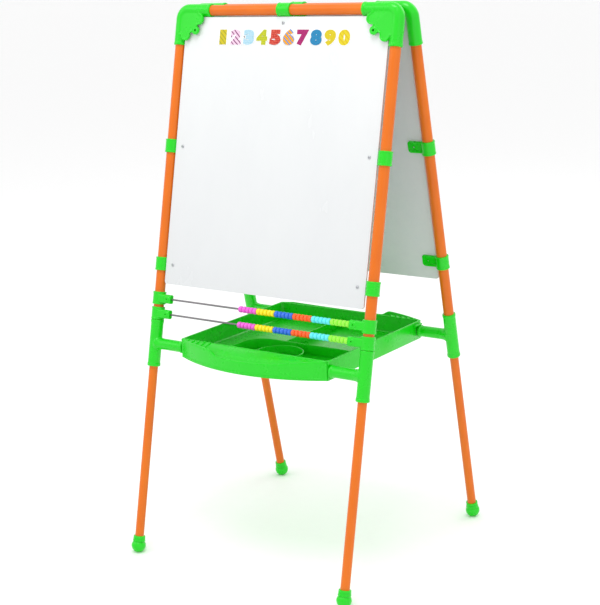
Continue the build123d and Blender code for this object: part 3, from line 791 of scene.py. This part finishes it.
def makeFoot(frameName, sideName):
    plane = planes[frameName]
    node = frameName + "_foot_" + sideName
    low, high = localBox(node, plane)
    legX = (low.x + high.x) / 2
    bulb = (high.x - low.x) / 2
    legLow, legHigh = localBox(frameName + "_lower_leg_" + sideName, plane)
    tube = (legHigh.x - legLow.x) / 2
    centre = legLow.y
    top = high.y
    collar = tube + 0.0033
    bore = tube + 0.00005
    rounding = footLook["collarRound"]
    profile = [(bore, top), (collar - rounding, top)]
    for step in range(1, 6):
        turn = math.radians(90 * step / 5)
        profile.append((collar - rounding + rounding * math.sin(turn), top - rounding + rounding * math.cos(turn)))
    shoulder = centre + 0.0116
    # three moulded rings round the collar, then the bulb
    rings = (top - 0.006, top - 0.0095, top - 0.013)
    for ring in rings:
        for step in range(7):
            turn = math.pi * step / 6
            profile.append((collar - footLook["groove"] * math.sin(turn), ring + 0.0008 * math.cos(turn)))
    profile += [(collar, shoulder + 0.004), (collar + 0.0003, shoulder + 0.001)]
    for step in range(8):
        share = step / 7
        turn = math.radians(48 * (1 - share))
        profile.append((bulb * math.cos(turn) if share else collar + 0.0009, centre + bulb * math.sin(turn) * 0.86))
    for step in range(1, 15):
        turn = math.radians(90 * step / 14)
        profile.append((bulb * math.cos(turn) if step < 14 else 0, centre - bulb * math.sin(turn)))
    profile = [*profile, (0, centre), (bore, centre), (bore, top)]
    bm = bmesh.new()
    lathe(bm, placeAlong(plane, (legX, 0, 0), (0, 1, 0)), profile, footLook["steps"])
    cut = bmesh.ops.bisect_plane(
        bm, geom=bm.verts[:] + bm.edges[:] + bm.faces[:], plane_co=(0, 0, 0), plane_no=(0, 0, -1), clear_outer=True,
    )
    rim = [item for item in cut["geom_cut"] if isinstance(item, bmesh.types.BMEdge)]
    bmesh.ops.holes_fill(bm, edges=rim, sides=0)
    body = frameName + "_leg_" + sideName
    piece = addMesh(node + "_cap", bm, greenMaterial, body, "green_plastic", node)
    smoothShaded(piece)
    return piece


# board screws and hinge pins

screwLook = {"dome": 0.0017, "slot": 0.0007, "slotDepth": 0.0009, "slotReach": 0.0019}


def makeScrews(frameName):
    plane = planes[frameName]
    node = frameName + "_board_screws"
    boardTop = localBox(frameName + "_board", plane)[1].z
    low, high = localBox(node, plane)
    back = plane.inverted()
    screws = []                                                # one list of points for each screw
    for vertex in nodes[node].data.vertices:
        point = back @ vertex.co
        own = next((points for points in screws if (points[0] - point).length < 0.02), None)
        if own is None:
            screws.append([point])
        else:
            own.append(point)
    bm = bmesh.new()
    cutter = bmesh.new()
    seeded = random.Random(7)
    for points in screws:
        left = min(point.x for point in points)
        right = max(point.x for point in points)
        bottom = min(point.y for point in points)
        top = max(point.y for point in points)
        head = (right - left) / 2
        place = plane @ Matrix.Translation(((left + right) / 2, (bottom + top) / 2, boardTop))
        place = place @ Matrix.Rotation(seeded.uniform(0, math.pi), 4, "Z")
        profile = [(0, low.z - boardTop), (0.0012, low.z - boardTop), (0.0016, low.z - boardTop + 0.0006), (0.0016, 0), (head, 0)]
        for step in range(1, 9):
            turn = math.radians(90 * step / 8)
            profile.append((head * math.cos(turn) if step < 8 else 0, 0.0003 + screwLook["dome"] * math.sin(turn)))
        lathe(bm, place, profile, 32)
        deep = screwLook["dome"] + 0.0003 - screwLook["slotDepth"]
        arm = screwLook["slotReach"]
        thin = screwLook["slot"] / 2
        cross = [
            (arm, -thin), (arm, thin), (thin, thin), (thin, arm), (-thin, arm), (-thin, thin),
            (-arm, thin), (-arm, -thin), (-thin, -thin), (-thin, -arm), (thin, -arm), (thin, -thin),
        ]
        slab(cutter, place, cross, deep, 0.004)
    piece = addMesh(node + "_heads", bm, screwMaterial, frameName + "_frame", "screw_zinc", node)
    drilled(piece, cutter)
    smoothShaded(piece)
    return piece


def makeHingePin(sideName):
    node = "hinge_pins"
    low, high = localBox(node, Matrix.Identity(4), [(0, legAxis("front", sideName)[0], 0.1)])
    middle = (low + high) / 2
    head = (high.z - low.z) / 2
    length = high.x - low.x
    place = placeAlong(Matrix.Identity(4), (low.x, middle.y, middle.z), (1, 0, 0))
    profile = [(0, 0), (0.003, 0.0001), (head - 0.0008, 0.0005), (head, 0.0013), (head, 0.002), (0.003, 0.002)]
    profile += [(0.003, length - 0.002), (head, length - 0.002), (head, length - 0.0013), (head - 0.0008, length - 0.0005)]
    profile += [(0.003, length - 0.0001), (0, length)]
    bm = bmesh.new()
    lathe(bm, place, profile, 40)
    piece = addMesh("hinge_pin_" + sideName + "_rivet", bm, pinMaterial, "front_frame", "steel_rod", node)
    smoothShaded(piece, 50)
    return piece


# tray

trayLook = {
    "bevel": 0.0009, "segments": 3, "ribs": 5, "ribFirst": -0.165, "ribPitch": 0.014,
    "ribWidth": 0.0040, "ribHeight": 0.0034, "lineHeight": 0.0045, "lineOut": 0.0011, "fillet": 0.004,
    "drops": {"basin": 0, "ledges": 0, "well_divider": 0.009, "cup_ring": 0.013, "rear_divider": 0.011},
}


def softCopy(node, name, bevel, drop=0.0):
    # a CAD solid's shape with its sharp edges rounded, and its top let down by a drop
    bm = bmesh.new()
    bm.from_mesh(nodes[node].data)
    low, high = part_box(node)
    for vertex in bm.verts:
        if vertex.co.z > (low.z + high.z) / 2:
            vertex.co.z -= drop
    bmesh.ops.remove_doubles(bm, verts=bm.verts, dist=1e-6)
    bmesh.ops.dissolve_limit(
        bm, angle_limit=math.radians(1), use_dissolve_boundaries=False, verts=bm.verts, edges=bm.edges, delimit=set(),
    )
    piece = addMesh(name, bm, greenMaterial, "tray", "green_plastic", node)
    soft = piece.modifiers.new("rounded", "BEVEL")
    soft.width = bevel
    soft.segments = trayLook["segments"]
    soft.limit_method = "ANGLE"
    soft.angle_limit = math.radians(30)
    applyModifiers(piece)
    smoothShaded(piece, 40)
    return piece


def bowPoint(x, halfWidth, halfDepth, bow, inset=0.0):
    # distance from the middle to the bowed lip's wall at x
    radius = (halfWidth ** 2 + bow ** 2) / (2 * bow)
    return halfDepth + bow - radius + math.sqrt(max((radius - inset) ** 2 - x ** 2, 0))


def ribbon(bm, points, section):
    # sweeps a closed section of (out, up) pairs along points; each point carries its outward direction
    rings = [[bm.verts.new(point + out * a + Vector((0, 0, b))) for a, b in section] for point, out in points]
    count = len(section)
    for near, far in zip(rings, rings[1:]):
        for step in range(count):
            bm.faces.new((near[step], near[(step + 1) % count], far[(step + 1) % count], far[step]))
    bm.faces.new(rings[0])
    bm.faces.new(rings[-1])


def beadSection(width, height, steps=10):
    turns = [math.tau * step / steps for step in range(steps)]
    return [(width * math.cos(turn), height * math.sin(turn)) for turn in turns]


def makeTrayTrim():
    # the rounded rim bead, the lines and cross ribs on the lips, and the fillets at the foot of the basin's walls
    look = trayLook
    low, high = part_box("tray_basin")
    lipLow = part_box("tray_front_lip")[0]
    halfWidth, halfDepth, top = high.x, high.y, high.z
    bow = -lipLow.y - halfDepth
    wall = 0.0025
    bm = bmesh.new()
    # rim bead on the basin's side walls
    for side in (-1, 1):
        out = Vector((side, 0, 0))
        points = [(Vector((side * (halfWidth - wall / 2), y, top - 0.0012)), out) for y in (-halfDepth + 0.001, halfDepth - 0.001)]
        ribbon(bm, points, beadSection(wall / 2 + 0.0004, 0.0016, 12))
    for turn in (-1, 1):
        # bead along the basin's front or back wall
        out = Vector((0, turn, 0))
        points = [(Vector((x, turn * (halfDepth - wall / 2), top - 0.0012)), out) for x in (-halfWidth + 0.001, halfWidth - 0.001)]
        ribbon(bm, points, beadSection(wall / 2 + 0.0004, 0.0016, 12))
        # a fine moulded line near the foot of the bowed outer wall
        line = []
        for step in range(61):
            x = (-0.93 + 1.86 * step / 60) * halfWidth
            y = bowPoint(x, halfWidth, halfDepth, bow)
            radius = (halfWidth ** 2 + bow ** 2) / (2 * bow)
            out = Vector((x, y - (halfDepth + bow - radius), 0)).normalized()
            line.append((Vector((x, y, low.z + look["lineHeight"])), out))
        line = [(Vector((-turn * point.x, turn * point.y, point.z)), Vector((-turn * out.x, turn * out.y, 0))) for point, out in line]
        ribbon(bm, line, beadSection(look["lineOut"], 0.0013, 10))
        # cross ribs on the high stretch
        for count in range(look["ribs"]):
            x = look["ribFirst"] + count * look["ribPitch"]
            reach = bowPoint(x, halfWidth, halfDepth, bow, wall * 0.5)
            slope = 0.017 / bow
            near = Vector((-turn * x, turn * (halfDepth - 0.0008), top - 0.0006))
            far = Vector((-turn * x, turn * reach, top - 0.0006 - slope * (reach - halfDepth)))
            ribbon(bm, [(near, Vector((1, 0, 0))), (far, Vector((1, 0, 0)))], beadSection(look["ribWidth"] / 2, look["ribHeight"], 12))
    piece = addMesh("tray_trim", bm, greenMaterial, "tray", "green_plastic")
    smoothShaded(piece, 50)
    # soft fillets where the basin's walls meet its floor
    bm = bmesh.new()
    radius = look["fillet"]
    floor = low.z + wall
    arc = [math.radians(90 * step / 5) for step in range(6)]
    section = [(-0.0004, -0.0004)] + [(radius - radius * math.sin(t), radius - radius * math.cos(t)) for t in arc]
    corners = [Vector((sx * (halfWidth - wall), sy * (halfDepth - wall), floor)) for sx, sy in ((1, 1), (-1, 1), (-1, -1), (1, -1))]
    for first, second in zip(corners, corners[1:] + corners[:1]):
        along = (second - first).normalized()
        inward = Vector((-along.y, along.x, 0))
        points = [(first + along * 0.004, inward), (second - along * 0.004, inward)]
        ribbon(bm, points, section)
    piece = addMesh("tray_fillets", bm, greenMaterial, "tray", "green_plastic")
    smoothShaded(piece, 50)


def smoothStep(value, low, high):
    share = min(max((value - low) / (high - low), 0), 1)
    return share * share * (3 - 2 * share)


def makeLip(turn):
    # a bowed lip: it slopes out from the rim to an outer wall, which is tall at one end and stepped down along the rest
    low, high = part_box("tray_basin")
    node = "tray_front_lip" if turn < 0 else "tray_rear_lip"
    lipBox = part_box(node)
    halfWidth, halfDepth, top, bottom = high.x, high.y, high.z, low.z
    bow = max(abs(lipBox[0].y), abs(lipBox[1].y)) - halfDepth
    look = lipLook
    radius = (halfWidth ** 2 + bow ** 2) / (2 * bow)
    centre = halfDepth + bow - radius
    bm = bmesh.new()
    rows = []
    for step in range(look["steps"] + 1):
        share = -1 + 2 * step / look["steps"]
        x = (halfWidth - look["endGap"]) * math.sin(share * math.pi / 2)
        reach = math.sqrt(max(radius ** 2 - x ** 2, 0)) + centre - halfDepth
        reach = max(reach, 0.0025)
        slope = look["drop"] * reach / bow
        stepped = smoothStep(x, *look["step"])
        wallDrop = stepped * max(slope - look["upstand"], 0)
        width = min(look["wall"], reach * 0.35)
        crest = min(0.0012, reach * 0.2)
        # (distance out, height below the rim) across the lip
        profile = [(-0.0012, 0.0006), (reach * 0.3, slope * 0.27), (reach * 0.62, slope * 0.6)]
        rise = max(slope - wallDrop, 0.0002)
        foot = reach - width - min(0.002, reach * 0.1)
        profile += [
            (foot - min(0.003, reach * 0.12), slope * 0.93), (foot, slope * 0.98 + look["groove"] * reach / bow),
            (reach - width, slope - rise * 0.25), (reach - width, slope - rise * 0.8), (reach - width + crest * 0.4, wallDrop + 0.0002),
            (reach - width * 0.5, wallDrop), (reach - crest * 0.4, wallDrop + 0.0003), (reach, wallDrop + crest),
        ]
        depth = top - bottom
        for part in range(1, 9):
            profile.append((reach, wallDrop + crest + (depth - wallDrop - crest) * part / 8))
        rows.append([bm.verts.new((-turn * x, turn * (halfDepth + out), top - down)) for out, down in profile])
    for near, far in zip(rows, rows[1:]):
        for a, b, c, d in zip(near, near[1:], far[1:], far):
            bm.faces.new((a, b, c, d))
    bmesh.ops.remove_doubles(bm, verts=bm.verts, dist=1e-7)
    piece = addMesh(node + "_moulding", bm, greenMaterial, "tray", "green_plastic", node)
    # the normals face up and out, so that the thickness goes inwards
    lift = sum(face.normal.z * face.area for face in piece.data.polygons)
    if lift < 0:
        piece.data.flip_normals()
    solid = piece.modifiers.new("thickness", "SOLIDIFY")
    solid.thickness = look["thickness"]
    solid.offset = -1
    applyModifiers(piece)
    smoothShaded(piece, 50)
    return piece


lipLook = {
    "steps": 120, "drop": 0.017, "upstand": 0.0046, "groove": 0.0016, "endGap": 0.0016, "wall": 0.0036, "thickness": 0.0018, "step": (-0.086, -0.058),
}


def makeTray():
    for part, drop in trayLook["drops"].items():
        softCopy("tray_" + part, "tray_" + part + "_moulding", trayLook["bevel"], drop)
    for turn in (-1, 1):
        makeLip(turn)
    makeTrayTrim()


# row of digits

digitLook = {
    "height": 0.031, "middle": -0.056, "span": 0.332, "width": 0.0272, "bold": 0.0036, "border": 0.0014, "lift": 0.00025, "raise": 0.0002,
    "colours": [
        ("stripe", tint(196, 180, 6), tint(150, 150, 30)), ("stripe", tint(222, 190, 212), tint(110, 20, 90)),
        ("spot", tint(150, 196, 214), tint(176, 206, 220)), ("spot", tint(188, 190, 6), tint(160, 172, 20)),
        ("spot", tint(176, 24, 20), tint(206, 84, 60)), ("stripe", tint(226, 150, 6), tint(60, 130, 200)),
        ("spot", tint(150, 2, 90), tint(166, 10, 104)), ("spot", tint(4, 130, 176), tint(20, 110, 160)),
        ("spot", tint(208, 190, 0), tint(196, 176, 4)), ("stripe", tint(212, 194, 0), tint(200, 170, 6)),
    ],
}


def digitMaterial(name, kind, base, accent):
    sheet = Sheet(name)
    where = inPlane(sheet, planes["front"])
    if kind == "spot":
        cells = sheet.node("ShaderNodeTexVoronoi", {}, {"Vector": where, "Scale": 260, "Randomness": 0.35})
        pattern = cells < 0.42
    else:
        bands = sheet.node(
            "ShaderNodeTexWave", {"wave_type": "BANDS", "bands_direction": "DIAGONAL"},
            {"Vector": where, "Scale": 62, "Distortion": 1.2, "Detail": 1},
        )
        pattern = bands > 0.8
    ink = sheet.noise(where, 1800, 2)
    colour = sheet.mix(pattern, base, accent)
    colour = sheet.mix(sheet.span(ink, 0.3, 0.7, 0, 0.03), colour, tint(255, 255, 255))
    return sheet.finish(Base_Color=colour, Roughness=sheet.span(ink, 0.3, 0.7, 0.35, 0.45), Specular_IOR_Level=0.2)


def digitMesh(character, height, grow, thick):
    # one numeral as a closed flat shape, middled on its own origin
    curve = bpy.data.curves.new("numeral", "FONT")
    curve.body = character
    curve.size = height * 1.38
    curve.offset = grow
    curve.extrude = thick / 2
    curve.resolution_u = 6
    made = bpy.data.objects.new("numeral", curve)
    bpy.context.scene.collection.objects.link(made)
    bpy.context.view_layer.update()
    mesh = bpy.data.meshes.new_from_object(made.evaluated_get(bpy.context.evaluated_depsgraph_get()))
    bpy.data.objects.remove(made)
    bpy.data.curves.remove(curve)
    return mesh


def makeDigits():
    look = digitLook
    plane = planes["front"]
    boardTop = localBox("front_board", plane)[1].z
    whiteSheet = Sheet("digitBorder")
    paper = whiteSheet.noise(whiteSheet.place(), 700, 2)
    borderMaterial = whiteSheet.finish(
        Base_Color=whiteSheet.mix(paper, tint(246, 246, 244), tint(232, 234, 236)), Roughness=whiteSheet.span(paper, 0, 1, 0.3, 0.4)
    )
    pitch = look["span"] / 10
    characters = "1234567890"
    for index, character in enumerate(characters):
        kind, base, accent = look["colours"][index]
        x = -look["span"] / 2 + pitch * (index + 0.5)
        reference = digitMesh(character, look["height"], 0.0, 0.0002)
        lows = Vector([min(vertex.co[axis] for vertex in reference.vertices) for axis in range(3)])
        highs = Vector([max(vertex.co[axis] for vertex in reference.vertices) for axis in range(3)])
        bpy.data.meshes.remove(reference)
        full = highs - lows + Vector((2, 2, 0)) * look["bold"]
        stretch = look["height"] / full.y
        widen = look["width"] * (0.66 if character == "1" else 1) / full.x
        middle = (lows + highs) / 2
        for layer, (grow, thick, lift, material) in enumerate((
            (look["bold"] + look["border"], 0.0002, look["lift"], borderMaterial),
            (look["bold"], 0.0002, look["lift"] + look["raise"], digitMaterial("digit" + character, kind, base, accent)),
        )):
            mesh = digitMesh(character, look["height"], grow, thick)
            place = plane @ Matrix.Translation((x, look["middle"], boardTop + lift)) @ Matrix.Diagonal(
                (widen, stretch, 1, 1)
            ) @ Matrix.Translation((-middle.x, -middle.y, 0))
            bm = bmesh.new()
            bm.from_mesh(mesh)
            bpy.data.meshes.remove(mesh)
            bmesh.ops.remove_doubles(bm, verts=bm.verts, dist=1e-7)
            bmesh.ops.transform(bm, matrix=place, verts=bm.verts)
            kindName = "border" if layer == 0 else "face"
            addMesh("digit_" + character + "_" + kindName, bm, material, "front_frame", "white_board")


for frameName in planes:
    for sideName in sideNames:
        makeCorner(frameName, sideName)
        makeSideClips(frameName, sideName)
        makeTee(frameName, sideName)
        makeFoot(frameName, sideName)
    makeTopClip(frameName)
    makeScrews(frameName)
    print("fittings ready:", frameName)
for sideName in sideNames:
    for rowName in ("upper", "lower"):
        makeRodClip(rowName, sideName)
    makeHingePin(sideName)
print("rod clips and hinge pins ready")
makeTray()
print("tray ready")
makeDigits()
print("digits ready")


# studio

studio = {
    "place": (1.661, -2.382, 1.2344), "turn": 34.97, "tilt": 13.69, "roll": -1.9, "lens": 83.4,
    "floorSize": 60, "floorColour": tint(252, 252, 252), "sky": 1.0,
    "lights": {
        "key": {"at": (-2.4, -2.6, 3.2), "size": 2.2, "watts": 18},
        "fill": {"at": (3.2, -1.6, 1.8), "size": 2.4, "watts": 6},
        "top": {"at": (0.3, -1.0, 3.6), "size": 1.2, "watts": 34},
        "back": {"at": (1.0, 3.0, 2.8), "size": 2.6, "watts": 22},
    },
}


def makeCamera():
    turn, tilt, roll = (math.radians(studio[key]) for key in ("turn", "tilt", "roll"))
    forward = Vector((-math.sin(turn) * math.cos(tilt), math.cos(turn) * math.cos(tilt), -math.sin(tilt)))
    right = Vector((math.cos(turn), math.sin(turn), 0))
    up = right.cross(forward)
    leaned = right * math.cos(roll) + up * math.sin(roll)
    upright = up * math.cos(roll) - right * math.sin(roll)
    data = bpy.data.cameras.new("studioCamera")
    data.lens = studio["lens"]
    data.sensor_width = 36
    camera = bpy.data.objects.new("studioCamera", data)
    camera.matrix_world = Matrix.Translation(studio["place"]) @ Matrix((leaned, upright, -forward)).transposed().to_4x4()
    bpy.context.scene.collection.objects.link(camera)
    bpy.context.scene.camera = camera


def makeStudio():
    middle = Vector((0, 0, cadBox[1][2] / 2))
    for name, look in studio["lights"].items():
        data = bpy.data.lights.new(name + "Light", "AREA")
        data.size = look["size"]
        data.energy = look["watts"]
        lamp = bpy.data.objects.new(name + "Light", data)
        lamp.location = look["at"]
        lamp.rotation_euler = (middle - lamp.location).to_track_quat("-Z", "Y").to_euler()
        bpy.context.scene.collection.objects.link(lamp)
    world = bpy.data.worlds.new("softWhite")
    world.use_nodes = True
    sky = world.node_tree.nodes["Background"]
    sky.inputs["Color"].default_value = (1, 1, 1, 1)
    sky.inputs["Strength"].default_value = studio["sky"]
    bpy.context.scene.world = world
    sheet = Sheet("paleFloor")
    grain = sheet.noise(sheet.place(), 40, 3)
    pale = studio["floorColour"]
    soft = tuple(value * 0.97 for value in pale[:3]) + (1,)
    floorMaterial = sheet.finish(Base_Color=sheet.mix(grain, pale, soft), Roughness=sheet.span(grain, 0, 1, 0.55, 0.7))
    bm = bmesh.new()
    bmesh.ops.create_grid(bm, x_segments=1, y_segments=1, size=studio["floorSize"])
    mesh = bpy.data.meshes.new("floor")
    bm.to_mesh(mesh)
    bm.free()
    mesh.materials.append(floorMaterial)
    floor = bpy.data.objects.new("floor", mesh)
    bpy.context.scene.collection.objects.link(floor)
    bpy.context.scene.view_settings.view_transform = "Standard"


makeCamera()
makeStudio()
print("studio ready")

bpy.context.view_layer.update()
